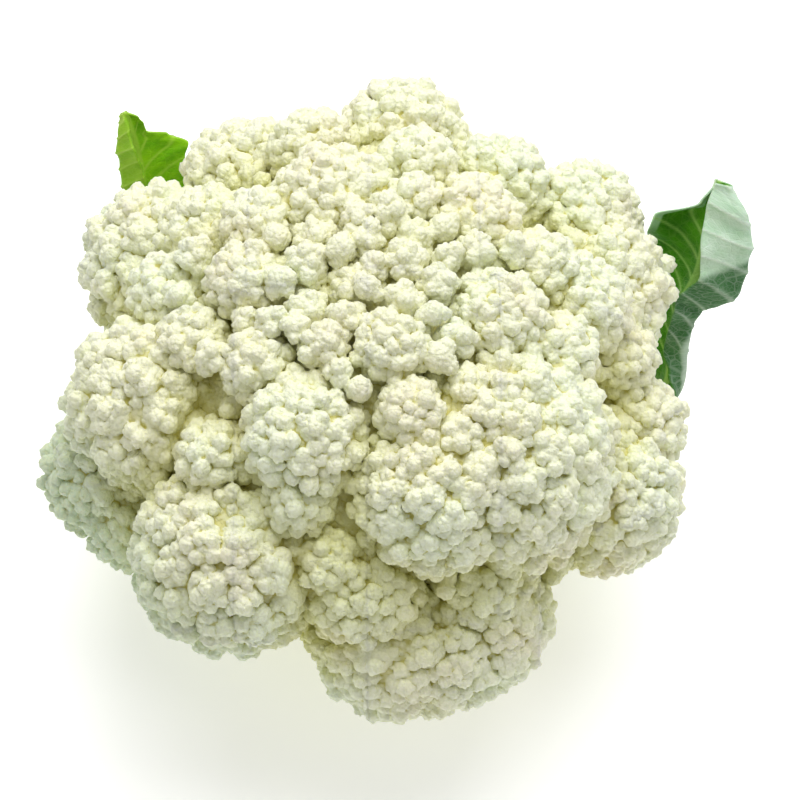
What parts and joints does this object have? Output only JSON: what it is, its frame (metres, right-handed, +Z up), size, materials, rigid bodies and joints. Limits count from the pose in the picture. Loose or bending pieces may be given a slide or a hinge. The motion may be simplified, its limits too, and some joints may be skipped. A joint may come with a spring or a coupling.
{
  "type": "cauliflower",
  "caption": "Whole head of cauliflower: a rounded cream curd of budded florets on a short cut stalk, with wrapper leaves left on behind it.",
  "frame": {"origin": "centre of the stalk's flat cut face", "axes": "+Z up through the stalk and the head, -Y towards the side that the picture is taken from, +X to its right"},
  "size_m": [0.1922, 0.1782, 0.1276],
  "materials": {
    "curd": "matte cream buds, yellow-green in the creases",
    "stalk": "pale green skin, white moist cut",
    "leaf_young": "satin yellow-green with pale veins",
    "leaf_blue": "satin green, waxy blue-green underside with pale veins"
  },
  "bodies": {
    "root": {"curd": "curd", "stalk": "stalk", "leaf_left": "leaf_young", "leaf_right": "leaf_blue"}
  },
  "joints": []
}
